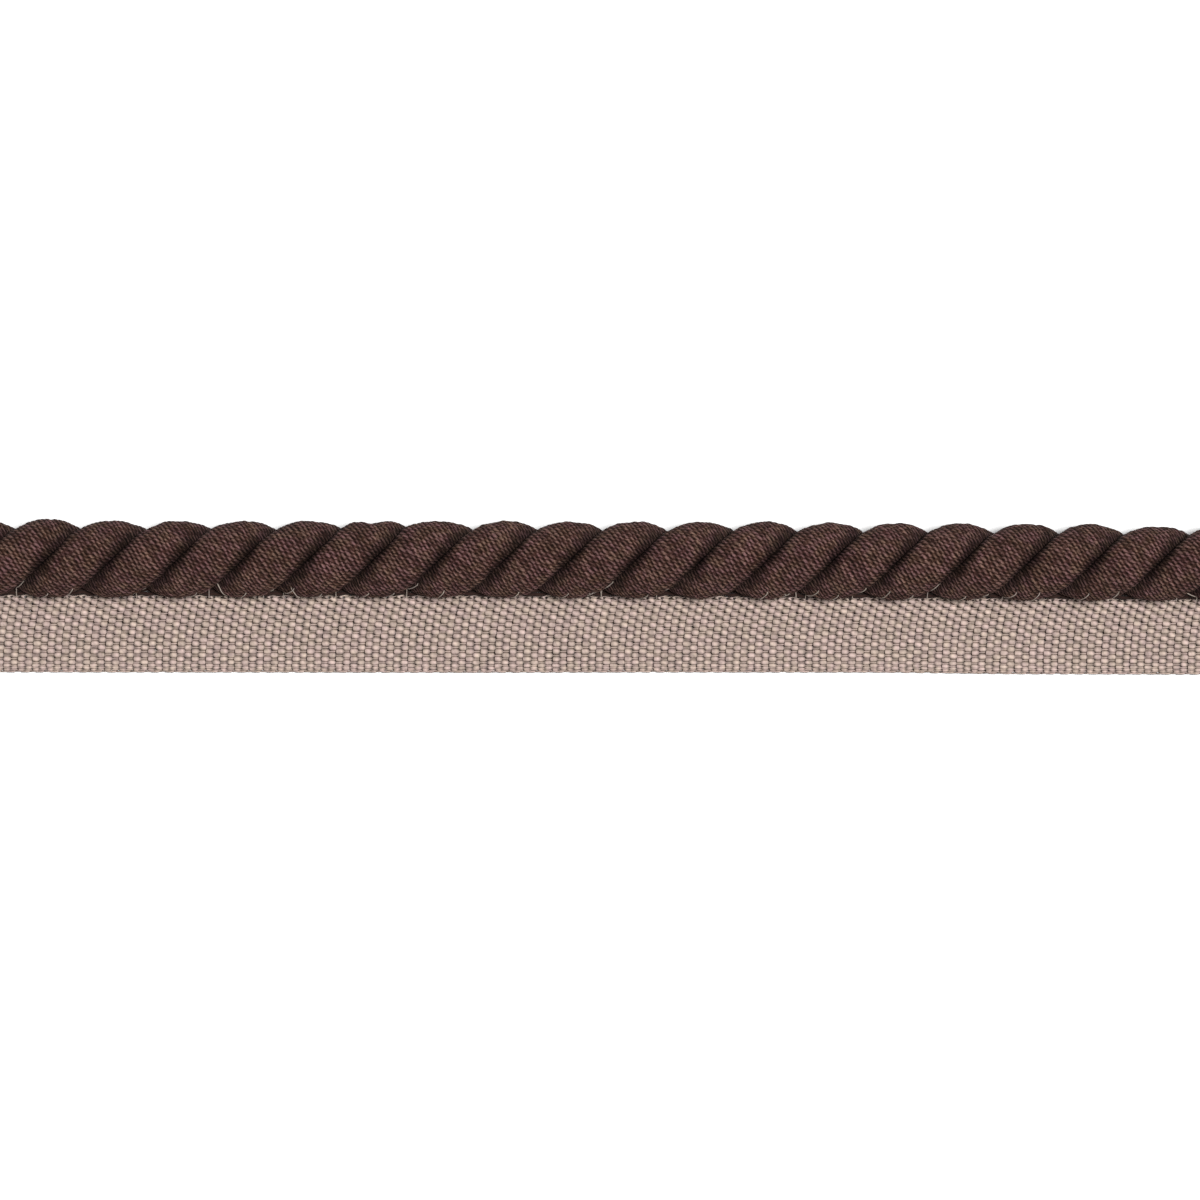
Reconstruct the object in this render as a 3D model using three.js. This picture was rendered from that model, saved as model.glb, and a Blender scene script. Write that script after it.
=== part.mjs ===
// Twisted cotton cord sewn along one side to a woven tape, the trim known as flanged or lip cord.
// A straight cut length, lying flat on Z = 0 with its good face up.
// Millimetres. X runs along the trim, the cord lies on the +Y side and the tape reaches to -Y.

import * as THREE from 'three';

const TRIM_LENGTH = 170;

// The cord: two covered strands laid round each other, left-handed, so its grooves
// climb towards +Y as they go along +X on the upper face.
const CORD = {
  radius: 5,
  strands: 2,
  lay: 16.95, // length of one full turn
  strandRadius: 4.2, // of a strand's round outer face, whose centre is off the cord's axis
  grooveDepth: 1, // how much deeper than that face the groove between two strands goes
  grooveSharpness: 6, // how suddenly the face turns down into the groove
  axisY: 4.78, // puts the middle of the trim's whole width on Y = 0
  grooveX: 0.4, // where a groove crosses the cord's free side
};

// Clearances that keep neighbouring strands, and the tape and the cord, separate bodies.
const STRAND_GAP = 0.52;
const TAPE_GAP = 0.34;

// The slightly hollow inner side of a strand, which its neighbour hides.
const STRAND_INSIDE = {
  tipRadius: 0.8,
  wallRadius: 2,
  wallGap: 0.9,
};

const TAPE = {
  thickness: 1,
  reach: 14.6, // from the cord's axis to the free selvedge
  riseStart: 8.4, // from the cord's axis to where the tape starts to climb to the cord
  riseFoot: 6, // from the cord's axis to where the climb's end would meet the flat face
  headerAngle: 62, // degrees round the cord, from straight down, of the sewn-on header's upper edge
  headerUnder: 50, // the same for its lower edge
};

// How far the cord's axis and the tape's selvedge stray sideways from straight, along the length.
const DRIFT = [
  { x: -86, axis: 0.16, selvedge: 0.02 },
  { x: -52, axis: 0.1, selvedge: 0 },
  { x: -18, axis: 0.08, selvedge: -0.04 },
  { x: 10, axis: -0.02, selvedge: 0 },
  { x: 34, axis: -0.18, selvedge: -0.02 },
  { x: 58, axis: -0.3, selvedge: -0.24 },
  { x: 86, axis: -0.4, selvedge: -0.3 },
];

// Unevenness of the covering: the splice, where the crest stands proud and then falls steeply,
// and a few crests that are fuller or flatter than the rest.
// angle is round the cord, from straight up towards +Y; height is outwards.
const SWELLINGS = [
  { x: -32.6, angle: 84, height: 0.34, along: 1.5, around: 26 },
  { x: -29.2, angle: 88, height: -0.26, along: 1.3, around: 24 },
  { x: -25.6, angle: 82, height: 0.5, along: 2, around: 30 },
  { x: -71.5, angle: 80, height: 0.24, along: 4, around: 36 },
  { x: 23, angle: 78, height: 0.16, along: 3.4, around: 34 },
  { x: 72, angle: 84, height: -0.3, along: 5, around: 40 },
];

const STEPS_PER_TURN = 22;
const CREST_POINTS = 13;
const TAPE_STEP = 5;
const RISE_POINTS = 6;
const SELVEDGE_POINTS = 5;

const TURN = 2 * Math.PI;
const SECTOR = Math.PI / CORD.strands; // half of the angle that one strand takes up

function radians(degrees) {
  return (degrees * Math.PI) / 180;
}

// Reads a column of the drift table at x, eased between its rows.
function drift(column, x) {
  const next = DRIFT.findIndex((row) => row.x >= x);
  const from = DRIFT[next - 1];
  const to = DRIFT[next];
  const t = THREE.MathUtils.smoothstep(x, from.x, to.x);
  return THREE.MathUtils.lerp(from[column], to[column], t);
}

// How far the covering swells at x and at an angle round the cord.
function swelling(x, angle) {
  let height = 0;
  for (const bump of SWELLINGS) {
    const turned = THREE.MathUtils.euclideanModulo(angle - radians(bump.angle) + Math.PI, TURN) - Math.PI;
    const along = (x - bump.x) / bump.along;
    const around = turned / radians(bump.around);
    height += bump.height * Math.exp(-(along * along) - around * around);
  }
  return height;
}

// The outer face's distance from the cord's axis at an angle from the strand's own middle.
function crestRadius(angle) {
  const offset = CORD.radius - CORD.strandRadius;
  const round = offset * Math.cos(angle) + Math.sqrt(CORD.strandRadius ** 2 - (offset * Math.sin(angle)) ** 2);
  const groove = CORD.grooveDepth * Math.abs(angle / SECTOR) ** CORD.grooveSharpness;
  return round - groove;
}

// The angle at which the crest line meets the gap to the next strand.
function shoulderAngle() {
  let angle = SECTOR;
  for (let i = 0; i < 4; i++) {
    angle = SECTOR - Math.asin(STRAND_GAP / 2 / crestRadius(angle));
  }
  return angle;
}

// One strand's section across the cord: nearly a half round, with its shoulders rounded off.
function strandShape() {
  const points = [];
  const shoulder = shoulderAngle();
  for (let i = 0; i < CREST_POINTS; i++) {
    const angle = shoulder * ((2 * i) / (CREST_POINTS - 1) - 1);
    const r = crestRadius(angle);
    points.push(new THREE.Vector2(r * Math.cos(angle), r * Math.sin(angle)));
  }
  const { tipRadius, wallRadius, wallGap } = STRAND_INSIDE;
  const wallAngle = SECTOR - Math.asin(wallGap / 2 / wallRadius);
  const wall = new THREE.Vector2(wallRadius * Math.cos(wallAngle), wallRadius * Math.sin(wallAngle));
  points.push(wall);
  points.push(new THREE.Vector2(tipRadius, 0));
  points.push(new THREE.Vector2(wall.x, -wall.y));
  return new THREE.Shape(points);
}

// Strand number k: its section drawn out along X and twisted as it goes.
function strandGeometry(k) {
  const steps = Math.round((TRIM_LENGTH / CORD.lay) * STEPS_PER_TURN);
  const geometry = new THREE.ExtrudeGeometry(strandShape(), {
    depth: TRIM_LENGTH,
    steps,
    bevelEnabled: false,
  });
  const place = geometry.attributes.position;
  const middle = SECTOR * (2 * k + 1);
  for (let i = 0; i < place.count; i++) {
    const x = place.getZ(i) - TRIM_LENGTH / 2;
    const own = Math.atan2(place.getY(i), place.getX(i));
    const turned = own + middle - (TURN * (x - CORD.grooveX)) / CORD.lay;
    const r = Math.hypot(place.getX(i), place.getY(i));
    const outer = THREE.MathUtils.smoothstep(r, STRAND_INSIDE.wallRadius, CORD.strandRadius);
    const full = r + outer * swelling(x, Math.PI / 2 - turned);
    const y = CORD.axisY + drift('axis', x) + full * Math.cos(turned);
    place.setXYZ(i, x, y, CORD.radius + full * Math.sin(turned));
  }
  geometry.computeVertexNormals();
  return geometry;
}

// A point beside the cord, clear of it, at an angle in degrees from straight down.
function besideCord(degrees) {
  const hug = CORD.radius + TAPE_GAP;
  const angle = radians(degrees);
  return new THREE.Vector2(hug * Math.sin(angle), CORD.radius - hug * Math.cos(angle));
}

// The tape's section in its own plane: u runs from the cord's axis out to the selvedge, v is up.
// It lies flat, then climbs to the cord's lower side, where its header is sewn on.
function tapeShape() {
  const { thickness, riseStart, riseFoot } = TAPE;
  const flatTop = new THREE.Vector2(riseStart, thickness);
  const footTop = new THREE.Vector2(riseFoot, thickness);
  const flatUnder = new THREE.Vector2(riseStart - thickness / 2, 0);
  const footUnder = new THREE.Vector2(riseFoot - thickness * 0.8, 0);
  const upper = new THREE.QuadraticBezierCurve(besideCord(TAPE.headerAngle), footTop, flatTop);
  const lower = new THREE.QuadraticBezierCurve(flatUnder, footUnder, besideCord(TAPE.headerUnder));
  const selvedge = [];
  const round = thickness / 2;
  for (let i = 0; i < SELVEDGE_POINTS; i++) {
    const turn = (Math.PI * i) / (SELVEDGE_POINTS - 1);
    const out = TAPE.reach - round + round * Math.sin(turn);
    selvedge.push(new THREE.Vector2(out, round + round * Math.cos(turn)));
  }
  return new THREE.Shape([...upper.getPoints(RISE_POINTS), ...selvedge, ...lower.getPoints(RISE_POINTS)]);
}

function tapeGeometry() {
  const geometry = new THREE.ExtrudeGeometry(tapeShape(), {
    depth: TRIM_LENGTH,
    steps: TRIM_LENGTH / TAPE_STEP,
    bevelEnabled: false,
  });
  const place = geometry.attributes.position;
  for (let i = 0; i < place.count; i++) {
    const out = place.getX(i);
    const x = TRIM_LENGTH / 2 - place.getZ(i);
    const share = THREE.MathUtils.smoothstep(out, CORD.radius, TAPE.reach);
    const stray = THREE.MathUtils.lerp(drift('axis', x), drift('selvedge', x), share);
    place.setXYZ(i, x, CORD.axisY + stray - out, place.getY(i));
  }
  geometry.computeVertexNormals();
  return geometry;
}

const cordCotton = { color: 0x47332e, roughness: 0.9, metalness: 0 };
const tapeCotton = { color: 0xa8958b, roughness: 0.92, metalness: 0 };

const trim = new THREE.Group();

for (let k = 0; k < CORD.strands; k++) {
  const strand = new THREE.Mesh(strandGeometry(k), new THREE.MeshStandardMaterial(cordCotton));
  strand.name = `strand_${k + 1}`;
  trim.add(strand);
}

const tape = new THREE.Mesh(tapeGeometry(), new THREE.MeshStandardMaterial(tapeCotton));
tape.name = 'tape';
trim.add(tape);

export default trim;
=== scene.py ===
"""Twisted cotton cord sewn along one side to a woven tape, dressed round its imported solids.

X runs along the trim, the cord lies on the +Y side, the tape reaches to -Y, and Z is up.
Every length is in metres.
"""

import math

import bpy
import numpy as np
from bpy.props import FloatProperty, FloatVectorProperty, IntProperty, PointerProperty
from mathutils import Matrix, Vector


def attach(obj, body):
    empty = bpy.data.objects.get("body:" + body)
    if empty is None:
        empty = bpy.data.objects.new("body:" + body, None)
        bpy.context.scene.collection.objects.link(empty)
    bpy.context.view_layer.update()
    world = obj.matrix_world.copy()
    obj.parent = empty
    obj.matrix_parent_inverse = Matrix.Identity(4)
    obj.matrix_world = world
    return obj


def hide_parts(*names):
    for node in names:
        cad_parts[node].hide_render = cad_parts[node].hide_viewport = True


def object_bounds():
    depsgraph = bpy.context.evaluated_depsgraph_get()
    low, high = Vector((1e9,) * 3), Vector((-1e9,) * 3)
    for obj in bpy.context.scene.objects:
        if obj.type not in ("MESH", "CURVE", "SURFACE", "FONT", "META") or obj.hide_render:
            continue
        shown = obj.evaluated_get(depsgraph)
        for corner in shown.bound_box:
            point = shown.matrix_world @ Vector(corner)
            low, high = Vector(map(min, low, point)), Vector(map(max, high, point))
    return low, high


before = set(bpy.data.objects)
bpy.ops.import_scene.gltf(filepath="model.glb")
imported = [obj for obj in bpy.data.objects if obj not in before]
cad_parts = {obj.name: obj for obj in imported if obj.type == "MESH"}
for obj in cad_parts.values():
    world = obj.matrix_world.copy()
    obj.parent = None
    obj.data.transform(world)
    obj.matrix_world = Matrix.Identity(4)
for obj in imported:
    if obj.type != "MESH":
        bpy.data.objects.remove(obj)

bl_info = {
    "name": "Cord on Tape",
    "version": (1, 0, 0),
    "blender": (4, 5, 0),
    "location": "3D View > Sidebar > Trim",
    "description": "Builds a twisted cotton cord that is sewn to a woven tape",
    "category": "Add Mesh",
}

MM = 0.001
TURN = 2 * math.pi
CAD_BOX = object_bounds()
LENGTH = 2 * CAD_BOX[1][0]
STRANDS = ("strand_1", "strand_2")
SECTOR = math.pi / len(STRANDS)
ROOT = "root"

# Seeds of what is uneven, so that every run gives the same trim.
SEEDS = {
    "yarn wander": 20,
    "yarn size": 100,
    "lumps": 5,
    "slack ahead": 60,
    "slack behind": 70,
    "picks": 31,
    "weft": 32,
    "warp": 33,
    "warp wander": 300,
    "warp size": 400,
}

# How far the cord's axis and the tape's selvedge stray sideways, along the length.
DRIFT_X = np.array([-86, -52, -18, 10, 34, 58, 86]) * MM
AXIS_DRIFT = np.array([0.16, 0.1, 0.08, -0.02, -0.18, -0.3, -0.4]) * MM
SELVEDGE_DRIFT = np.array([0.02, 0, -0.04, 0, -0.02, -0.24, -0.3]) * MM

# Unevenness of the covering: x, angle round the cord from straight up towards +Y, height, and
# its reach along and around. The first three are the splice.
SWELLINGS = (
    {"x": -32.6, "angle": 84, "height": 0.34, "along": 1.5, "around": 26},
    {"x": -29.2, "angle": 88, "height": -0.26, "along": 1.3, "around": 24},
    {"x": -25.6, "angle": 82, "height": 0.5, "along": 2, "around": 30},
    {"x": -71.5, "angle": 80, "height": 0.24, "along": 4, "around": 36},
    {"x": 23, "angle": 78, "height": 0.16, "along": 3.4, "around": 34},
    {"x": 72, "angle": 84, "height": -0.3, "along": 5, "around": 40},
)


def smoothstep(t):
    """Eases from 0 to 1 as t goes from 0 to 1."""
    t = np.clip(t, 0, 1)
    return t * t * (3 - 2 * t)


def drift(column, x):
    """Reads a column of the drift table at x, eased between its rows."""
    row = np.clip(np.searchsorted(DRIFT_X, x, side="left"), 1, len(DRIFT_X) - 1)
    t = smoothstep((x - DRIFT_X[row - 1]) / (DRIFT_X[row] - DRIFT_X[row - 1]))
    return column[row - 1] + t * (column[row] - column[row - 1])


def wrapped(angle):
    """The same angle, from minus half a turn to half a turn."""
    return (angle + math.pi) % TURN - math.pi


def swelling(x, angle):
    """How far the covering swells at x and at an angle from straight up towards +Y."""
    height = 0.0 * x
    for bump in SWELLINGS:
        along = (x - bump["x"] * MM) / (bump["along"] * MM)
        around = wrapped(angle - math.radians(bump["angle"])) / math.radians(bump["around"])
        height = height + bump["height"] * MM * np.exp(-along ** 2 - around ** 2)
    return height


def ripple(x, angle, seed, size, waves):
    """Smooth unevenness: a few seeded waves, each with its own length along and turns around."""
    dice = np.random.default_rng(seed)
    total = 0.0 * x + 0.0 * angle
    for length in waves:
        turns = dice.integers(-3, 4)
        phase = dice.uniform(0, TURN)
        total = total + np.sin(TURN * x / length + turns * angle + phase)
    return size * total / math.sqrt(len(waves))


class CordSettings(bpy.types.PropertyGroup):
    """The twisted cord"""

    radius: FloatProperty(
        name="Radius",
        description="From the cord's axis to a crest",
        default=5 * MM,
        unit="LENGTH",
    )
    lay: FloatProperty(
        name="Lay",
        description="Length of one turn of a strand",
        default=16.95 * MM,
        unit="LENGTH",
    )
    strand_radius: FloatProperty(
        name="Strand radius",
        description="Of a strand's round outer face",
        default=4.15 * MM,
        unit="LENGTH",
    )
    groove_depth: FloatProperty(
        name="Groove depth",
        description="How far that face drops into the groove",
        default=1.2 * MM,
        unit="LENGTH",
    )
    groove_sharpness: FloatProperty(
        name="Groove sharpness",
        description="How suddenly the face turns into the groove",
        default=5.5,
    )
    groove_x: FloatProperty(
        name="Groove place",
        description="Where a groove crosses the free side",
        default=0.4 * MM,
        unit="LENGTH",
    )
    axis_y: FloatProperty(
        name="Axis",
        description="How far the cord's axis is from the middle",
        default=4.78 * MM,
        unit="LENGTH",
    )
    strand_gap: FloatProperty(
        name="Strand gap",
        description="Gap between neighbouring strands",
        default=0.08 * MM,
        unit="LENGTH",
    )
    yarns_per_metre: FloatProperty(
        name="Yarns per metre",
        description="Wound yarns that one line along a strand crosses",
        default=3000,
    )
    yarn_lead: FloatProperty(
        name="Yarn lead",
        description="How far a yarn moves along for each radian round",
        default=1.367 * MM,
    )
    grains_along: FloatProperty(
        name="Grains along",
        description="Grains of the ply per metre along a strand",
        default=4005,
    )
    grains_around: FloatProperty(
        name="Grains around", description="Grains of the ply for each radian round", default=8.97
    )
    yarn_depth: FloatProperty(
        name="Yarn depth",
        description="Depth between two wound yarns",
        default=0.17 * MM,
        unit="LENGTH",
    )
    colour: FloatVectorProperty(
        name="Colour",
        description="The brown yarn",
        subtype="COLOR",
        size=3,
        default=(0.037, 0.0163, 0.0126),
    )


class TapeSettings(bpy.types.PropertyGroup):
    """The woven tape"""

    reach: FloatProperty(
        name="Reach",
        description="From the cord's axis to the selvedge",
        default=14.6 * MM,
        unit="LENGTH",
    )
    pick_pitch: FloatProperty(
        name="Pick pitch",
        description="Between two weft threads",
        default=0.945 * MM,
        unit="LENGTH",
    )
    end_pitch: FloatProperty(
        name="End pitch",
        description="Between two warp threads",
        default=0.495 * MM,
        unit="LENGTH",
    )
    weft_width: FloatProperty(
        name="Weft width", description="Width of the weft yarn", default=1.15 * MM, unit="LENGTH"
    )
    weft_height: FloatProperty(
        name="Weft height",
        description="Thickness of the weft yarn",
        default=0.37 * MM,
        unit="LENGTH",
    )
    warp_width: FloatProperty(
        name="Warp width", description="Width of the warp yarn", default=0.17 * MM, unit="LENGTH"
    )
    middle: FloatProperty(
        name="Middle",
        description="Height of the weave's middle off the table",
        default=0.48 * MM,
        unit="LENGTH",
    )
    colour: FloatVectorProperty(
        name="Colour",
        description="The taupe yarn",
        subtype="COLOR",
        size=3,
        default=(0.43, 0.328, 0.288),
    )


class StitchSettings(bpy.types.PropertyGroup):
    """The pale stitches"""

    pitch: FloatProperty(
        name="Pitch", description="Between two stitches", default=3.22 * MM, unit="LENGTH"
    )
    thickness: FloatProperty(
        name="Thickness", description="Of the sewing thread", default=0.15 * MM, unit="LENGTH"
    )
    seed: IntProperty(name="Seed", description="Of the stitches' unevenness", default=7)
    colour: FloatVectorProperty(
        name="Colour",
        description="The sewing thread",
        subtype="COLOR",
        size=3,
        default=(0.34, 0.275, 0.235),
    )


class StageSettings(bpy.types.PropertyGroup):
    """The camera's view of the trim"""

    lens: FloatProperty(name="Lens", description="Focal length in millimetres", default=150)
    millimetres_per_pixel: FloatProperty(
        name="Scale", description="Millimetres to a pixel of the 1200 pixel view", default=0.13
    )
    axis_pixel: FloatProperty(
        name="Axis pixel",
        description="Row of the 1200 pixel view that holds the cord's axis",
        default=560,
    )


class TrimSettings(bpy.types.PropertyGroup):
    """All the settings"""

    cord: PointerProperty(type=CordSettings)
    tape: PointerProperty(type=TapeSettings)
    stitch: PointerProperty(type=StitchSettings)
    stage: PointerProperty(type=StageSettings)


def settings():
    """The sizes and colours that the user can change."""
    return bpy.context.scene.trim


# Nodes and materials


def add(tree, kind, inputs=None, **values):
    """Adds a node, sets its values, and sets or links its inputs."""
    node = tree.nodes.new(kind)
    for key, value in values.items():
        setattr(node, key, value)
    for key, value in (inputs or {}).items():
        if isinstance(value, bpy.types.NodeSocket):
            tree.links.new(value, node.inputs[key])
        else:
            node.inputs[key].default_value = value
    return node


def reckon(tree, operation, *values):
    """A Math node's result."""
    return add(tree, "ShaderNodeMath", dict(enumerate(values)), operation=operation).outputs[0]


def added(tree, *heights):
    """The sum of some heights, each given with its share."""
    total = 0.0
    for height, share in heights:
        total = reckon(tree, "MULTIPLY_ADD", height, share, total)
    return total


def varied(tree, shade, amount, least, most):
    """A shade times a factor, which is least where the amount is 0 and most where it is 1."""
    factor = reckon(tree, "MULTIPLY_ADD", amount, most - least, least)
    return reckon(tree, "MULTIPLY", shade, factor)


def eased(tree, value, start, stop, low=0.0, high=1.0):
    """Goes smoothly from low to high as the value goes from start to stop."""
    ends = {"Value": value, "From Min": start, "From Max": stop, "To Min": low, "To Max": high}
    return add(tree, "ShaderNodeMapRange", ends, interpolation_type="SMOOTHSTEP").outputs[0]


def chance(tree, **place):
    """A random number from 0 to 1 for each whole-numbered place."""
    dimensions = "1D" if "W" in place else "2D"
    return add(tree, "ShaderNodeTexWhiteNoise", place, noise_dimensions=dimensions).outputs["Value"]


def colour_between(tree, factor, *stops):
    """A colour that follows a factor. Each stop is a position and a colour."""
    node = add(tree, "ShaderNodeValToRGB", {"Fac": factor})
    elements = node.color_ramp.elements
    elements[0].position = stops[0][0]
    elements[1].position = stops[-1][0]
    for position, _ in stops[1:-1]:
        elements.new(position)
    for element, (_, colour) in zip(elements, stops):
        element.color = (*colour, 1)
    return node.outputs[0]


def toned(colour, *parts):
    """A colour with each of its three parts made stronger or weaker."""
    return [value * part for value, part in zip(colour, parts)]


def new_material(name, roughness, sheen, sheen_tint, gloss=0.15):
    """A material with its node tree and its shader. Sheen is the soft light on a pile of fibres."""
    material = bpy.data.materials.new(name)
    material.use_nodes = True
    shader = material.node_tree.nodes["Principled BSDF"]
    shader.inputs["Roughness"].default_value = roughness
    shader.inputs["Specular IOR Level"].default_value = gloss
    shader.inputs["Sheen Weight"].default_value = sheen
    shader.inputs["Sheen Roughness"].default_value = 0.5
    shader.inputs["Sheen Tint"].default_value = (*sheen_tint, 1)
    return material, material.node_tree, shader


def crown(tree, phase, power=2.4):
    """1 in the middle of a yarn or grain and 0 at its edges, from its running number."""
    part = reckon(tree, "FRACT", phase)
    across = reckon(tree, "MULTIPLY_ADD", part, 2.0, -1.0)
    drop = reckon(tree, "POWER", reckon(tree, "ABSOLUTE", across), power)
    return reckon(tree, "SUBTRACT", 1.0, drop)


def tinted(tree, colour, tint, shade):
    """A colour times a tint, made darker or lighter by a shade."""
    dyed = add(tree, "ShaderNodeVectorMath", {0: colour, 1: tint}, operation="MULTIPLY").outputs[0]
    return add(tree, "ShaderNodeVectorMath", {0: dyed, 3: shade}, operation="SCALE").outputs[0]


def raise_surface(tree, shader, height, depth):
    """Gives a surface its fine relief, of about that depth."""
    bump = add(tree, "ShaderNodeBump", {"Height": height, "Distance": depth, "Strength": 1.0})
    tree.links.new(bump.outputs[0], shader.inputs["Normal"])


def object_noise(tree, size, detail=2.0):
    """Soft noise in the object's own space, with features of about that size."""
    place = add(tree, "ShaderNodeTexCoord").outputs["Object"]
    noise = add(tree, "ShaderNodeTexNoise", {"Vector": place, "Scale": 1 / size, "Detail": detail})
    return noise.outputs["Fac"]


def wound_yarn_material(colour):
    """Brown plied cotton yarn, wound round a strand. Its UV map counts yarns and grains."""
    material, tree, shader = new_material("wound_brown_cotton", 0.8, 0.0, (0.5, 0.36, 0.33), 0.1)
    uv = add(tree, "ShaderNodeUVMap", uv_map="yarns")
    split = add(tree, "ShaderNodeSeparateXYZ", {0: uv.outputs[0]})
    yarn = split.outputs[0]
    stray = object_noise(tree, 0.5 * MM)
    grain = added(tree, (split.outputs[1], 1.0), (stray, 1.5))
    yarn_number = reckon(tree, "FLOOR", yarn)
    cell = add(tree, "ShaderNodeCombineXYZ", {0: yarn_number, 1: reckon(tree, "FLOOR", grain)})
    grain_chance = chance(tree, Vector=cell.outputs[0])
    yarn_chance = chance(tree, W=yarn_number)

    # Painted highlight and painted shade: where the yarn and grain crests meet, the colour is painted
    # pale grey-pink like a glint, and near black in the gaps between them.
    crest_highlight = added(tree, (crown(tree, yarn, 1.3), 1.0), (crown(tree, grain, 1.3), 1.0))
    crest_highlight = varied(tree, crest_highlight, grain_chance, 0.4, 0.6)
    highlight_and_shade_colour = colour_between(
        tree,
        crest_highlight,
        (0.14, toned(colour, 0.16, 0.13, 0.1)),
        (0.52, toned(colour, 0.94, 0.88, 0.84)),
        (0.92, toned(colour, 3.5, 4.5, 5.0)),
    )
    patches = object_noise(tree, 0.8 * MM)
    specks = object_noise(tree, 0.17 * MM)
    groove_shade = add(tree, "ShaderNodeAttribute", attribute_name="groove_shade").outputs["Fac"]
    shade = varied(tree, 1.0, yarn_chance, 0.85, 1.15)
    shade = varied(tree, shade, patches, 0.5, 1.5)
    shade = varied(tree, shade, specks, 0.2, 1.8)
    # Painted shade: the face darkens towards the groove between the strands.
    shade = varied(tree, shade, groove_shade, 1.0, 0.3)
    olive_to_mauve = colour_between(
        tree, object_noise(tree, 1.5 * MM), (0.36, (0.98, 1.03, 0.88)), (0.64, (1.04, 0.95, 1.1))
    )
    tree.links.new(tinted(tree, highlight_and_shade_colour, olive_to_mauve, shade), shader.inputs["Base Color"])

    grains = varied(tree, crown(tree, grain), grain_chance, 0.42, 0.72)
    fuzz = object_noise(tree, 0.07 * MM, detail=3.0)
    relief = added(tree, (crown(tree, yarn), 0.42), (grains, 1.0), (fuzz, 0.3))
    raise_surface(tree, shader, relief, 0.14 * MM)
    return material


def cut_end_material(colour):
    """The tufts of cut fibres at a strand's end."""
    material, tree, shader = new_material("cut_brown_cotton", 0.95, 0.05, (0.5, 0.42, 0.4), 0.08)
    place = add(tree, "ShaderNodeTexCoord").outputs["Object"]
    cells = {"Vector": place, "Scale": 1 / (0.55 * MM), "Randomness": 0.8}
    from_middle = add(tree, "ShaderNodeTexVoronoi", cells).outputs["Distance"]
    # Painted shade: each tuft is domed in the relief, painted lighter in its middle and darker where it
    # meets the next.
    tuft_and_shade = reckon(tree, "SUBTRACT", 1.0, reckon(tree, "POWER", from_middle, 1.6))
    fibres = object_noise(tree, 0.12 * MM, detail=4.0)
    shade = varied(tree, tuft_and_shade, fibres, 0.4, 3.4)
    cut_colour = toned(colour, 1.3, 1.35, 1.4)
    tree.links.new(tinted(tree, cut_colour, (1, 1, 1), shade), shader.inputs["Base Color"])
    raise_surface(tree, shader, added(tree, (tuft_and_shade, 1.0), (fibres, 1.0)), 0.22 * MM)
    return material


def spun_yarn_material(name, colour, dip_shade=1.0):
    """A plain spun yarn. Its UV map runs round the yarn and along its twist, and its lift says how
    far it rides over the others: where it dips under them it is darker, down to dip_shade.
    """
    material, tree, shader = new_material(name, 0.9, 0.08, (0.8, 0.72, 0.68))
    uv = add(tree, "ShaderNodeUVMap", uv_map="twist")
    split = add(tree, "ShaderNodeSeparateXYZ", {0: uv.outputs[0]})
    around, along = split.outputs[0], split.outputs[1]
    ply = crown(tree, added(tree, (around, 2.0), (along, 1.0)))
    fibres = object_noise(tree, 0.09 * MM, detail=3.0)
    lift = add(tree, "ShaderNodeAttribute", attribute_name="lift").outputs["Fac"]
    risen = eased(tree, lift, -0.9, 0.75)
    upper_side = reckon(tree, "SINE", reckon(tree, "MULTIPLY", around, -TURN))

    # Painted shade: the yarn is painted darker where it dips under the others, down to dip_shade, and a
    # little lighter where it rides highest.
    shade = varied(tree, 1.0, risen, dip_shade, 1.12)
    shade = varied(tree, shade, object_noise(tree, 0.8 * MM), 0.4, 1.6)
    shade = varied(tree, shade, ply, 0.9, 1.02)
    shade = varied(tree, shade, fibres, 0.85, 1.15)
    # Painted light and shade: the top of the yarn is painted lighter and its sides darker.
    shade = reckon(tree, "MULTIPLY", shade, eased(tree, upper_side, 0.25, 0.97, 0.68, 0.96))
    patches = colour_between(
        tree,
        object_noise(tree, 1.1 * MM),
        (0.38, toned(colour, 1.01, 0.985, 1.02)),
        (0.62, toned(colour, 0.99, 1.005, 0.96)),
    )
    # Painted shade: where the yarn dips it is also tinted warmer.
    dip_shade_warmth = colour_between(tree, risen, (0, (1, 0.93, 0.84)), (1, (0.98, 1, 1)))
    tree.links.new(tinted(tree, patches, dip_shade_warmth, shade), shader.inputs["Base Color"])

    relief = added(tree, (ply, 0.4), (fibres, 0.4), (upper_side, 0.9), (lift, 1.6))
    raise_surface(tree, shader, relief, 0.05 * MM)
    return material


# The cord

# A strand's mesh: columns over its outer face, rows for each wound yarn, the hidden inner face,
# and the length at each end over which the yarns turn square to the cut.
OUTER_COLUMNS = 34
ROWS_PER_YARN = 5
INNER_RADIUS = 2 * MM
INNER_GAP = 0.06 * MM
SQUARE_END = 6 * MM

# From where to where painted shade darkens a strand's face towards the groove, as shares of its half
# width.
GROOVE_SHADE_START = 0.56
GROOVE_SHADE_STOP = 0.98

# Unevenness of the covering, each with its size and the lengths of its waves.
YARN_WANDER = (0.06 * MM, (2.1 * MM, 3.7 * MM, 6.1 * MM))
LUMPS = (0.05 * MM, (4.3 * MM, 7.9 * MM, 13.7 * MM, 3.1 * MM))
SLACK_AHEAD = (0.16 * MM, (2.3 * MM, 5.1 * MM, 11 * MM))
SLACK_BEHIND = (0.16 * MM, (2.7 * MM, 4.6 * MM, 9 * MM))
YARN_SIZE_STRAY = 0.028 * MM
YARN_SWAY = 0.02 * MM

# A strand's rounded cut: each ring's scale and how far it stands out, then the middle's.
CUT_RINGS = ((0.93, 0.1 * MM), (0.6, 0.16 * MM))
CUT_MIDDLE = 0.12 * MM

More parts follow.
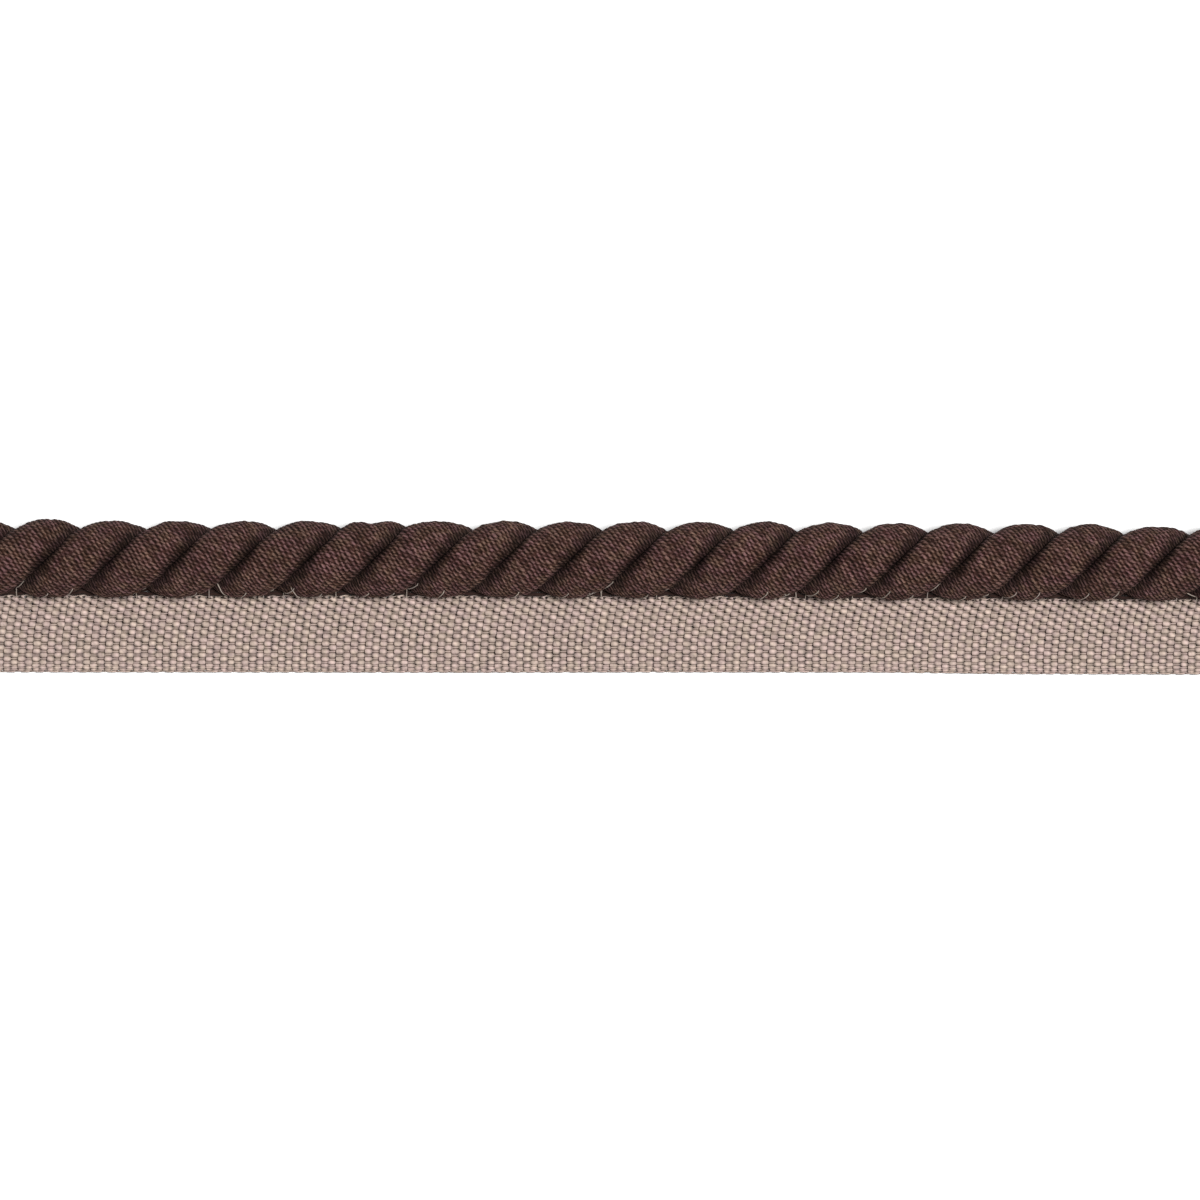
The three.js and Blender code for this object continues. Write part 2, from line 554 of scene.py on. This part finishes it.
# Where the stitches enter the cord. Angles are down from straight up.
STITCH_STRAY = 0.3 * MM
ENTRY_ANGLE = math.radians(70)
HIGHER_ENTRY = math.radians(16)
HIDDEN_SHARE = 0.3
RETURN_SHARE = 0.2
RETURN_AWAY = 1.1 * MM
RETURN_STRAY = 0.1 * MM
RETURN_LOWER = math.radians(6)

DIMPLE_DEPTH = 0.25 * MM
DIMPLE_LENGTH = 0.5 * MM
DIMPLE_ANGLE = math.radians(12)
DIMPLE_LOWER = math.radians(4)


def stitch_places():
    """Where the stitches enter the cord: x, the angle down from straight up, and which way they lean."""
    stitch = settings().stitch
    dice = np.random.default_rng(stitch.seed)
    count = int(LENGTH / stitch.pitch)
    places = []
    for i in range(count):
        x = (i - (count - 1) / 2) * stitch.pitch + dice.normal(0, STITCH_STRAY)
        top = ENTRY_ANGLE - HIGHER_ENTRY * dice.random() ** 2
        if dice.random() < HIDDEN_SHARE:
            continue
        places.append((x, top, 1))
        if dice.random() < RETURN_SHARE:
            back = x + RETURN_AWAY + dice.normal(0, RETURN_STRAY)
            places.append((back, top + RETURN_LOWER, -1))
    return places


def dimples(x, angle):
    """How deep the stitches pull the covering in. The angle is from straight up towards +Y."""
    depth = 0.0 * x
    for place, top, lean in stitch_places():
        near = np.abs(x - place) < 5 * DIMPLE_LENGTH
        along = (x[near] - place) / DIMPLE_LENGTH - lean
        around = wrapped(angle[near] + top + DIMPLE_LOWER) / DIMPLE_ANGLE
        depth[near] += DIMPLE_DEPTH * np.exp(-along ** 2 - around ** 2)
    return depth


def crest_radius(own):
    """A strand's outer face, from the cord's axis, at an angle from the strand's own middle."""
    cord = settings().cord
    offset = cord.radius - cord.strand_radius
    chord = np.sqrt(cord.strand_radius ** 2 - (offset * np.sin(own)) ** 2)
    groove = cord.groove_depth * np.abs(own / SECTOR) ** cord.groove_sharpness
    return offset * np.cos(own) + chord - groove


def strand_section():
    """A strand's section: each column's angle and radius, and how far it shows the wound yarn.

    The columns stand a little closer together in the grooves.
    """
    cord = settings().cord
    shoulder = SECTOR
    for _ in range(4):
        shoulder = SECTOR - math.asin(cord.strand_gap / 2 / crest_radius(shoulder))
    spread = np.linspace(-1, 1, OUTER_COLUMNS)
    outer = shoulder * (spread + 0.12 * np.sin(math.pi * spread) / math.pi)
    wall = SECTOR - math.asin(INNER_GAP / INNER_RADIUS)
    inner_angle = np.array([wall, 0, -wall])
    inner_radius = np.array([INNER_RADIUS, INNER_GAP, INNER_RADIUS])
    angle = np.concatenate([outer, inner_angle])
    radius = np.concatenate([crest_radius(outer), inner_radius])
    shown = np.concatenate([smoothstep((shoulder - np.abs(outer)) / 0.08), np.zeros(3)])
    return angle, radius, shown


def cut_end(ring, sign):
    """The rings that round off a strand's cut, from the outer one in, and the cut's middle."""
    centre = ring.mean(0)
    rings = []
    for scale, out in CUT_RINGS:
        rings.append(centre + (ring - centre) * scale + np.array([sign * out, 0, 0]))
    return rings, centre + np.array([sign * CUT_MIDDLE, 0, 0])


def grid_mesh(name, points, uvs, groove_shades):
    """A closed tube from a grid of rings, with rounded cuts. points is rings x columns x 3."""
    rings, columns, _ = points.shape
    (start_outer, start_inner), start_middle = cut_end(points[0], -1)
    (stop_outer, stop_inner), stop_middle = cut_end(points[-1], 1)
    body = np.stack([start_inner, start_outer, *points, stop_outer, stop_inner])
    total = len(body)
    vertices = np.concatenate([body.reshape(-1, 3), [start_middle, stop_middle]])

    row = np.arange(total - 1)[:, None] * columns
    col = np.arange(columns)
    step = np.roll(col, -1)
    sides = np.stack([row + col, row + step, row + columns + step, row + columns + col], -1)
    first = np.stack([np.full(columns, total * columns), step, col], -1)
    last_row = (total - 1) * columns + col
    last = np.stack([np.full(columns, total * columns + 1), last_row, np.roll(last_row, -1)], -1)
    faces = sides.reshape(-1, 4).tolist() + first.tolist() + last.tolist()
    mesh = bpy.data.meshes.new(name)
    mesh.from_pydata(vertices.tolist(), [], faces)

    flat_uv = np.zeros((len(vertices), 2))
    flat_uv[2 * columns:(2 + rings) * columns] = uvs.reshape(-1, 2)
    corner = np.empty(len(mesh.loops), np.int32)
    mesh.loops.foreach_get("vertex_index", corner)
    layer = mesh.uv_layers.new(name="yarns")
    layer.data.foreach_set("uv", flat_uv[corner].ravel())
    # The painted groove shade, kept on the points for the material.
    groove_shade = mesh.attributes.new("groove_shade", "FLOAT", "POINT")
    groove_shade.data.foreach_set("value", np.append(np.tile(groove_shades, total), (1, 1)).astype(np.float32))

    cut = np.zeros(len(mesh.polygons), np.int32)
    cut[:2 * columns] = 1
    cut[(total - 3) * columns:] = 1
    mesh.polygons.foreach_set("material_index", cut)
    mesh.polygons.foreach_set("use_smooth", np.ones(len(mesh.polygons), bool))
    return mesh


def strand_mesh(number):
    """One strand of the cord, with its wound yarns in relief: each row of points follows a yarn."""
    cord = settings().cord
    angle, radius, shown = strand_section()
    own = angle[None, :]
    yarns = round(LENGTH * cord.yarns_per_metre)
    count = np.arange(yarns * ROWS_PER_YARN + 1)[:, None] / ROWS_PER_YARN
    base = (count / yarns - 0.5) * LENGTH
    ease = smoothstep((LENGTH / 2 - np.abs(base)) / SQUARE_END)
    wander = ripple(base, own, SEEDS["yarn wander"] + number, *YARN_WANDER)
    x = base + (cord.yarn_lead * own + wander) * ease
    grain = cord.grains_along * x - cord.grains_around * own

    dice = np.random.default_rng(SEEDS["yarn size"] + number)
    index = np.clip(np.floor(count), 0, yarns - 1).astype(int)
    size = dice.normal(0, YARN_SIZE_STRAY, yarns)[index]
    sway = YARN_SWAY * np.sin(2.3 * own + dice.uniform(0, TURN, yarns)[index])
    across = 2 * (count % 1) - 1
    round_yarn = np.sqrt(np.clip(1 - across ** 2, 0, 1))
    relief = cord.yarn_depth * (round_yarn - 1) + size + sway

    turned = own + SECTOR * (2 * number + 1) - TURN * (x - cord.groove_x) / cord.lay
    side = math.pi / 2 - turned
    lumps = ripple(x, turned, SEEDS["lumps"] + number, *LUMPS)
    edge = np.abs(own / SECTOR) ** 4
    ahead = ripple(x, 0 * own, SEEDS["slack ahead"] + number, *SLACK_AHEAD)
    behind = ripple(x, 0 * own, SEEDS["slack behind"] + number, *SLACK_BEHIND)
    slack = edge * (ahead * (own > 0) + behind * (own < 0))
    outside = relief + lumps + slack + swelling(x, side) - dimples(x, side)
    full = radius[None, :] + shown[None, :] * outside
    y = cord.axis_y + drift(AXIS_DRIFT, x) + full * np.cos(turned)
    z = cord.radius + full * np.sin(turned)
    points = np.stack([x, y, np.maximum(z, 0.0)], -1)
    uvs = np.stack([count + 1000 * number + 0 * x, grain], -1)
    # How much painted shade each column takes, growing towards the groove.
    groove_shades = smoothstep((np.abs(angle) / SECTOR - GROOVE_SHADE_START) / (GROOVE_SHADE_STOP - GROOVE_SHADE_START))
    return grid_mesh(STRANDS[number], points, uvs, groove_shades)


def finish_piece(mesh, name, materials, replaced=()):
    """Puts a mesh into the scene as a piece of the trim."""
    piece = bpy.data.objects.new(name, mesh)
    bpy.context.scene.collection.objects.link(piece)
    for material in materials:
        piece.data.materials.append(material)
    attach(piece, ROOT)
    if replaced:
        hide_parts(*replaced)
    return piece


class TRIM_OT_cord(bpy.types.Operator):
    """Make the cord's two covered strands"""

    bl_idname = "trim.cord"
    bl_label = "Make Cord"

    def execute(self, context):
        cord = settings().cord
        materials = (wound_yarn_material(cord.colour), cut_end_material(cord.colour))
        for number, node in enumerate(STRANDS):
            mesh = strand_mesh(number)
            finish_piece(mesh, node + "_yarn", materials, (node,))
        return {"FINISHED"}


# The tape

# Its middle line where it climbs to the cord: distances out from the cord's axis, and a height.
RISE_START = 8.15 * MM
RISE_FOOT = 5.55 * MM
HEADER_OUT = 4.47 * MM
HEADER_HEIGHT = 2.0 * MM
SELVEDGE_ROUND = 0.02 * MM

# The first warp threads in from the selvedge, which lie close together.
SELVEDGE_ENDS = (0.03 * MM, 0.24 * MM, 0.5 * MM, 0.82 * MM, 1.2 * MM)
HEADER_MARGIN = 0.12 * MM

# How far the yarns go up and down, how finely their paths are drawn, and how the weft turns
# round: how far its loops stand out of the header, and its share of its full size there.
WEFT_CRIMP = 0.135 * MM
WARP_CRIMP = 0.16 * MM
SAMPLES_PER_END = 3
LOOP_SAMPLES = 5
HEADER_LOOP = 0.14 * MM
EDGE_SIZE = 0.24

# The weft lies in a bow: straight at the selvedge and ever further along towards the header.
BOW = 0.15
STRAIGHT_SHARE = 0.05
LEAN_AT_SELVEDGE = 0.6 * MM

# Unevenness of the weave.
PICK_STRAY = 0.01 * MM
PICK_WANDER = 0.028 * MM
SIZE_STRAY = 0.045
WARP_WANDER = (0.03 * MM, (9 * MM, 4 * MM, 17 * MM))
WARP_SIZE_WAVE = (0.05, (5 * MM, 11 * MM))
WARP_SIZE_STRAY = 0.05

# How dark the painted shade makes the yarns where they dip under the others.
WEFT_DIP_SHADE = 0.46
WARP_DIP_SHADE = 0.52


def tape_line():
    """The tape's middle line across the trim, from the selvedge to the header.

    Returns a function that gives, for a length along that line, the distance out from the cord's
    axis, the height, and the two parts of the upward normal, and the whole length.
    """
    tape = settings().tape
    start = np.array([RISE_START, tape.middle])
    foot = np.array([RISE_FOOT, tape.middle])
    stop = np.array([HEADER_OUT, HEADER_HEIGHT])
    t = np.linspace(0, 1, 80)[:, None]
    rise = (1 - t) ** 2 * start + 2 * t * (1 - t) * foot + t ** 2 * stop
    flat = np.linspace(tape.reach - SELVEDGE_ROUND, RISE_START, 40)[:-1]
    line = np.concatenate([np.stack([flat, np.full(len(flat), tape.middle)], -1), rise])
    steps = np.linalg.norm(np.diff(line, axis=0), axis=1)
    lengths = np.concatenate([[0], np.cumsum(steps)])
    slope = np.gradient(line, lengths, axis=0)

    def place(s):
        out = np.interp(s, lengths, line[:, 0])
        up = np.interp(s, lengths, line[:, 1])
        across = np.interp(s, lengths, slope[:, 0])
        rising = np.interp(s, lengths, slope[:, 1])
        return out, up, rising, -across

    return place, lengths[-1]


def on_tape(place, x, s, lift):
    """Points at x and s on the tape, lifted off its middle line."""
    cord, tape = settings().cord, settings().tape
    out, up, normal_out, normal_up = place(s)
    out = out + lift * normal_out
    up = up + lift * normal_up
    share = smoothstep((out - cord.radius) / (tape.reach - cord.radius))
    stray = drift(AXIS_DRIFT, x) * (1 - share) + drift(SELVEDGE_DRIFT, x) * share
    return np.stack([x, cord.axis_y + stray - out, up], -1)


def warp_places(whole):
    """Where the warp threads lie along the tape's middle line: closer at the selvedge."""
    pitch = settings().tape.end_pitch
    rest = np.arange(SELVEDGE_ENDS[-1] + pitch * 0.94, whole - HEADER_MARGIN, pitch)
    return np.array([*SELVEDGE_ENDS, *rest])


def path_mesh(name, paths, thickness, lifts):
    """Open lines as one mesh of edges, each point with the yarn's thickness and lift there."""
    vertices = np.concatenate(paths)
    edges = []
    start = 0
    for path in paths:
        numbers = np.arange(start, start + len(path))
        edges.append(np.stack([numbers[:-1], numbers[1:]], -1))
        start += len(path)
    mesh = bpy.data.meshes.new(name)
    mesh.from_pydata(vertices.tolist(), np.concatenate(edges).tolist(), [])
    for key, values in (("thick", thickness), ("lift", lifts)):
        attribute = mesh.attributes.new(key, "FLOAT", "POINT")
        attribute.data.foreach_set("value", np.concatenate(values).astype(np.float32))
    return mesh


def yarn_tree(material):
    """Geometry Nodes that lay a yarn of oval section along every line of a mesh."""
    tree = bpy.data.node_groups.new("Lay Yarn", "GeometryNodeTree")
    face = tree.interface
    face.new_socket("Lines", in_out="INPUT", socket_type="NodeSocketGeometry")
    sockets = {
        "Width": face.new_socket("Width", in_out="INPUT", socket_type="NodeSocketFloat"),
        "Height": face.new_socket("Height", in_out="INPUT", socket_type="NodeSocketFloat"),
        "Sides": face.new_socket("Sides", in_out="INPUT", socket_type="NodeSocketInt"),
        "Twist": face.new_socket("Twist", in_out="INPUT", socket_type="NodeSocketFloat"),
    }
    face.new_socket("Yarn", in_out="OUTPUT", socket_type="NodeSocketGeometry")
    given = add(tree, "NodeGroupInput").outputs
    curve = add(tree, "GeometryNodeMeshToCurve", {"Mesh": given["Lines"]}).outputs[0]
    upright = add(tree, "GeometryNodeSetCurveNormal", {"Curve": curve}, mode="Z_UP").outputs[0]
    thick = add(tree, "GeometryNodeInputNamedAttribute", {"Name": "thick"}, data_type="FLOAT")
    length = add(tree, "GeometryNodeSplineParameter").outputs["Length"]
    turns = reckon(tree, "DIVIDE", length, given["Twist"])
    along = add(tree, "GeometryNodeCaptureAttribute", {"Geometry": upright}, domain="POINT")
    along.capture_items.new("FLOAT", "Along")
    tree.links.new(turns, along.inputs["Along"])
    circle = add(
        tree,
        "GeometryNodeCurvePrimitiveCircle",
        {"Resolution": given["Sides"], "Radius": 0.5},
        mode="RADIUS",
    ).outputs[0]
    size = add(
        tree, "ShaderNodeCombineXYZ", {0: given["Width"], 1: given["Height"], 2: 1.0}
    ).outputs[0]
    oval = add(tree, "GeometryNodeTransform", {"Geometry": circle, "Scale": size}).outputs[0]
    around = add(tree, "GeometryNodeCaptureAttribute", {"Geometry": oval}, domain="POINT")
    around.capture_items.new("FLOAT", "Around")
    part = add(tree, "GeometryNodeSplineParameter").outputs["Factor"]
    tree.links.new(part, around.inputs["Around"])
    tube = add(
        tree,
        "GeometryNodeCurveToMesh",
        {
            "Curve": along.outputs[0],
            "Profile Curve": around.outputs[0],
            "Scale": thick.outputs[0],
            "Fill Caps": True,
        },
    ).outputs[0]
    both = add(
        tree, "ShaderNodeCombineXYZ", {0: around.outputs["Around"], 1: along.outputs["Along"]}
    ).outputs[0]
    stored = add(
        tree,
        "GeometryNodeStoreNamedAttribute",
        {"Geometry": tube, "Name": "twist", "Value": both},
        data_type="FLOAT2",
        domain="CORNER",
    ).outputs[0]
    smooth = add(tree, "GeometryNodeSetShadeSmooth", {"Geometry": stored}).outputs[0]
    real = add(tree, "GeometryNodeRealizeInstances", {"Geometry": smooth}).outputs[0]
    dressed = add(
        tree, "GeometryNodeSetMaterial", {"Geometry": real, "Material": material}
    ).outputs[0]
    add(tree, "NodeGroupOutput", {"Yarn": dressed})
    return tree, sockets


def lay_yarn(name, paths, thickness, lifts, width, height, sides, twist, material):
    """Sweeps a yarn along its paths, and returns the result as a plain mesh."""
    lines = path_mesh(name + "_lines", paths, thickness, lifts)
    holder = bpy.data.objects.new(name + "_lines", lines)
    bpy.context.scene.collection.objects.link(holder)
    tree, sockets = yarn_tree(material)
    modifier = holder.modifiers.new("Lay Yarn", "NODES")
    modifier.node_group = tree
    for key, value in (("Width", width), ("Height", height), ("Sides", sides), ("Twist", twist)):
        modifier[sockets[key].identifier] = value
    graph = bpy.context.evaluated_depsgraph_get()
    mesh = bpy.data.meshes.new_from_object(holder.evaluated_get(graph), depsgraph=graph)
    mesh.name = name
    holder.modifiers.remove(modifier)
    bpy.data.objects.remove(holder)
    bpy.data.meshes.remove(lines)
    bpy.data.node_groups.remove(tree)
    return mesh


def pick_places():
    """Where the weft threads cross the tape, with a little unevenness, clear of both cuts."""
    tape = settings().tape
    count = int(LENGTH / tape.pick_pitch) - 1
    dice = np.random.default_rng(SEEDS["picks"])
    even = (np.arange(count) - (count - 1) / 2) * tape.pick_pitch
    return even + dice.normal(0, PICK_STRAY, count)


def weft_lean(s, whole):
    """How far the weft has moved along the trim at a length s from the selvedge."""
    past_selvedge = np.maximum(s / whole - STRAIGHT_SHARE, 0)
    return BOW * whole * past_selvedge ** 2 - LEAN_AT_SELVEDGE


def weft_size(j, last):
    """The weft's share of its full size where it crosses warp thread j: thinner at both edges."""
    from_selvedge = EDGE_SIZE + 0.6 * smoothstep(j) + 0.16 * smoothstep((j - 1) / 2)
    from_header = 0.55 + 0.45 * smoothstep(last - j)
    return np.minimum(from_selvedge, from_header)


def weft_path():
    """The one long weft thread: up and down across the tape, turning round at both edges."""
    place, whole = tape_line()
    ends = warp_places(whole)
    numbers = np.arange(len(ends))
    last = len(ends) - 1
    picks = pick_places()
    dice = np.random.default_rng(SEEDS["weft"])
    j = np.arange(0, last + 1e-6, 1 / SAMPLES_PER_END)
    s = np.interp(j, numbers, ends)
    share = weft_size(j, last)
    # Lowers the lift that the material reads over the first warp threads, so the weft is painted darker
    # towards the selvedge.
    selvedge_darkening = 0.55 * (1 - smoothstep(j / 4))
    turn = math.pi * (np.arange(LOOP_SAMPLES) + 1) / (LOOP_SAMPLES + 1)
    paths, thick, lifts = [], [], []
    for k, x in enumerate(picks):
        wander = PICK_WANDER * np.sin(j * dice.uniform(0.5, 1.3) + dice.uniform(0, TURN))
        lift = np.cos(math.pi * (j + k))
        uneven = np.interp(j, numbers, dice.normal(0, SIZE_STRAY, len(ends)))
        size = share * (0.93 + 0.12 * lift + uneven)
        along = x + wander + weft_lean(s, whole)
        line = on_tape(place, along, s, WEFT_CRIMP * lift * (0.5 + 0.5 * share))
        turned = slice(None, None, -1 if k % 2 else 1)
        paths.append(line[turned])
        thick.append(size[turned])
        lifts.append((lift - selvedge_darkening)[turned])
        if k + 1 == len(picks):
            break
        at_header = k % 2 == 0
        edge = last if at_header else 0
        out = HEADER_LOOP * np.sin(turn) ** 0.5 if at_header else 0 * turn
        middle, half = (x + picks[k + 1]) / 2, (picks[k + 1] - x) / 2
        over = middle - half * np.cos(turn) + weft_lean(ends[edge], whole)
        rise = math.cos(math.pi * (edge + k)) * np.cos(turn)
        paths.append(on_tape(place, over, ends[edge] + out, 0.6 * WEFT_CRIMP * rise))
        thick.append(np.full(LOOP_SAMPLES, EDGE_SIZE))
        # The loops get a low lift, so the material paints them a little darker.
        lifts.append(0.25 + 0.3 * rise)
    return [np.concatenate(paths)], [np.concatenate(thick)], [np.concatenate(lifts)]


def warp_paths():
    """The thin warp threads, each over and under every second weft thread."""
    place, whole = tape_line()
    ends = warp_places(whole)
    picks = pick_places()
    dice = np.random.default_rng(SEEDS["warp"])
    number = np.arange(-2, len(picks) + 1 + 1e-6, 1 / SAMPLES_PER_END)
    beyond = number - np.clip(number, 0, len(picks) - 1)
    x = np.interp(number, np.arange(len(picks)), picks) + beyond * settings().tape.pick_pitch
    paths, thick, lifts = [], [], []
    for j, s in enumerate(ends):
        leant = x + weft_lean(s, whole)
        kept = np.abs(leant) < LENGTH / 2
        along = leant[kept]
        lift = -np.cos(math.pi * (j + number[kept]))
        wander = ripple(along, 0 * along, SEEDS["warp wander"] + j, *WARP_WANDER)
        calm = 0.3 if j == 0 else 1
        paths.append(on_tape(place, along, s + wander, WARP_CRIMP * lift * calm))
        uneven = ripple(along, 0 * along, SEEDS["warp size"] + j, *WARP_SIZE_WAVE)
        thick.append(1 + dice.normal(0, WARP_SIZE_STRAY) + uneven)
        lifts.append(lift)
    return paths, thick, lifts


class TRIM_OT_tape(bpy.types.Operator):
    """Weave the tape from its weft and warp threads"""

    bl_idname = "trim.tape"
    bl_label = "Weave Tape"

    def execute(self, context):
        tape = settings().tape
        weft_cotton = spun_yarn_material("taupe_weft_cotton", tape.colour, WEFT_DIP_SHADE)
        warp_cotton = spun_yarn_material("taupe_warp_cotton", tape.colour, WARP_DIP_SHADE)
        weft = lay_yarn(
            "tape_weft", *weft_path(), tape.weft_width, tape.weft_height, 7, 1.6 * MM, weft_cotton
        )
        warp = lay_yarn(
            "tape_warp", *warp_paths(), tape.warp_width, tape.warp_width, 6, 0.8 * MM, warp_cotton
        )
        weft_piece = finish_piece(weft, "tape_weft", (), ("tape",))
        warp_piece = finish_piece(warp, "tape_warp", ())
        whole = tape_line()[1]
        return {"FINISHED"}


# The sewing

STITCH_FOOT = math.radians(114)
STITCH_LEAN = 1.7 * MM
STITCH_OFF_SURFACE = 0.02 * MM
FOOT_OFF_CORD = 0.45 * MM
END_INSIDE_CORD = 0.25 * MM

# The seam threads: out from the cord's axis, height, and the seed of their sway. They are painted darker
# than the cord, as shade, and fill the shaded gap under the cord's valleys.
SEAM_THREADS = (
    (4.44 * MM, 2.65 * MM, 81),
    (4.02 * MM, 2.3 * MM, 82),
    (3.7 * MM, 1.6 * MM, 83),
)
SEAM_SWAY = (0.1 * MM, (1.9 * MM, 3.2 * MM, 7 * MM))
SEAM_SHADE = 0.55


def cord_surface(x, down):
    """The cord's outer radius at x and at an angle down from straight up towards -Y."""
    cord = settings().cord
    turned = math.pi / 2 + down
    own = turned + TURN * (x - cord.groove_x) / cord.lay
    own = (own % (2 * SECTOR)) - SECTOR
    side = math.pi / 2 - turned
    return crest_radius(own) + swelling(x, side) - dimples(x, side)


def stitch_path(x, top, lean):
    """A taut thread from the tape's header up over the cord's lower side, ending inside the cord."""
    cord = settings().cord
    t = np.linspace(0, 1, 12)
    down = STITCH_FOOT + t * (top - STITCH_FOOT)
    along = x + lean * STITCH_LEAN * (t ** 1.2 - 0.5)
    surface = cord_surface(along, down) + STITCH_OFF_SURFACE
    radius = surface.copy()
    for _ in range(40):
        pulled = radius.copy()
        pulled[1:-1] = (radius[:-2] + radius[2:]) / 2
        radius = np.maximum(surface, pulled)
    radius[0] = cord.radius + FOOT_OFF_CORD
    radius[-1] -= END_INSIDE_CORD
    y = cord.axis_y + drift(AXIS_DRIFT, along) - radius * np.sin(down)
    z = cord.radius + radius * np.cos(down)
    return np.stack([along, y, z], -1)


def seam_path(out, up, seed):
    """A brown seam thread that runs along under the cord, beside the tape's header."""
    x = np.linspace(-LENGTH / 2, LENGTH / 2, 520)
    sway = ripple(x, 0 * x, seed, *SEAM_SWAY)
    y = settings().cord.axis_y + drift(AXIS_DRIFT, x) - out - sway
    return np.stack([x, y, up + 0.5 * sway], -1)


class TRIM_OT_stitches(bpy.types.Operator):
    """Sew the tape's header to the cord"""

    bl_idname = "trim.stitches"
    bl_label = "Sew Stitches"

    def execute(self, context):
        stitch = settings().stitch
        thread = spun_yarn_material("pale_sewing_thread", stitch.colour)
        paths = [stitch_path(*place) for place in stitch_places()]
        even = [np.ones(len(path)) for path in paths]
        mesh = lay_yarn(
            "stitches", paths, even, even, stitch.thickness, stitch.thickness, 6, 0.4 * MM, thread
        )
        finish_piece(mesh, "stitches", ())

        # Painted shade: the seam threads take the cord's colour darkened by SEAM_SHADE.
        dark = toned(settings().cord.colour, SEAM_SHADE, SEAM_SHADE, SEAM_SHADE)
        brown = spun_yarn_material("seam_thread_and_shade", dark)
        paths = [seam_path(*seam) for seam in SEAM_THREADS]
        even = [np.ones(len(path)) for path in paths]
        mesh = lay_yarn("seam_threads_and_shade", paths, even, even, 0.52 * MM, 0.34 * MM, 7, 0.6 * MM, brown)
        finish_piece(mesh, "seam_threads_and_shade", ())
        return {"FINISHED"}


# The stage

VIEW_PIXELS = 1200
SENSOR_WIDTH = 36
TABLE_HALF = 3.0
TABLE_GREY = 0.8
SKY_STRENGTH = 0.28
LAMP_DIRECTION = (0.24, 0.075, 1)
LAMP_DISTANCE = 3
LAMP_SIZE = 0.75
LAMP_IRRADIANCE = 1.42


def area_light(name, direction, distance, size, irradiance):
    """A round soft light that looks at the trim, with how brightly it lights a face turned to it."""
    data = bpy.data.lights.new(name, "AREA")
    data.shape = "DISK"
    data.size = size
    data.energy = math.pi * distance ** 2 * irradiance * math.pi
    lamp = bpy.data.objects.new(name, data)
    bpy.context.scene.collection.objects.link(lamp)
    lamp.location = Vector(direction).normalized() * distance
    lamp.rotation_euler = Vector(direction).to_track_quat("Z", "Y").to_euler()


class TRIM_OT_stage(bpy.types.Operator):
    """Set up the camera, the light and the pale table"""

    bl_idname = "trim.stage"
    bl_label = "Set Stage"

    def execute(self, context):
        scene = context.scene
        stage, cord = settings().stage, settings().cord
        scene.view_settings.view_transform = "Standard"
        scale = stage.millimetres_per_pixel * MM
        data = bpy.data.cameras.new("camera")
        data.lens = stage.lens
        data.sensor_width = SENSOR_WIDTH
        data.clip_start = 0.05
        data.clip_end = 20
        camera = bpy.data.objects.new("camera", data)
        scene.collection.objects.link(camera)
        distance = VIEW_PIXELS * scale * stage.lens / SENSOR_WIDTH
        middle = cord.axis_y - (VIEW_PIXELS / 2 - stage.axis_pixel) * scale
        camera.location = (0, middle, cord.radius + distance)
        scene.camera = camera

        floor = bpy.data.meshes.new("table")
        corners = [(a * TABLE_HALF, b * TABLE_HALF, 0) for a, b in ((-1, -1), (1, -1), (1, 1), (-1, 1))]
        floor.from_pydata(corners, [], [(0, 1, 2, 3)])
        white, _, shader = new_material("pale_table", 0.9, 0, (1, 1, 1))
        shader.inputs["Base Color"].default_value = (TABLE_GREY, TABLE_GREY, TABLE_GREY, 1)
        floor.materials.append(white)
        table = bpy.data.objects.new("table", floor)
        scene.collection.objects.link(table)

        world = bpy.data.worlds.new("studio")
        world.use_nodes = True
        sky = world.node_tree.nodes["Background"]
        sky.inputs["Color"].default_value = (1, 1, 1, 1)
        sky.inputs["Strength"].default_value = SKY_STRENGTH
        scene.world = world
        area_light("overhead", LAMP_DIRECTION, LAMP_DISTANCE, LAMP_SIZE, LAMP_IRRADIANCE)
        return {"FINISHED"}


class TRIM_PT_panel(bpy.types.Panel):
    """Lists the sizes, the colours and the steps"""

    bl_label = "Trim"
    bl_idname = "TRIM_PT_panel"
    bl_space_type = "VIEW_3D"
    bl_region_type = "UI"
    bl_category = "Trim"

    def draw(self, context):
        for group, operator in (
            ("stage", "trim.stage"),
            ("cord", "trim.cord"),
            ("tape", "trim.tape"),
            ("stitch", "trim.stitches"),
        ):
            box = self.layout.box()
            values = getattr(context.scene.trim, group)
            for key in values.bl_rna.properties.keys():
                if key not in {"rna_type", "name"}:
                    box.prop(values, key)
            box.operator(operator)


CLASSES = (
    CordSettings,
    TapeSettings,
    StitchSettings,
    StageSettings,
    TrimSettings,
    TRIM_OT_stage,
    TRIM_OT_cord,
    TRIM_OT_tape,
    TRIM_OT_stitches,
    TRIM_PT_panel,
)


def register():
    for item in CLASSES:
        bpy.utils.register_class(item)
    bpy.types.Scene.trim = PointerProperty(type=TrimSettings)


def unregister():
    del bpy.types.Scene.trim
    for item in reversed(CLASSES):
        bpy.utils.unregister_class(item)


def main():
    register()
    bpy.ops.trim.stage()
    bpy.ops.trim.cord()
    bpy.ops.trim.tape()
    bpy.ops.trim.stitches()


if __name__ == "__main__":
    main()
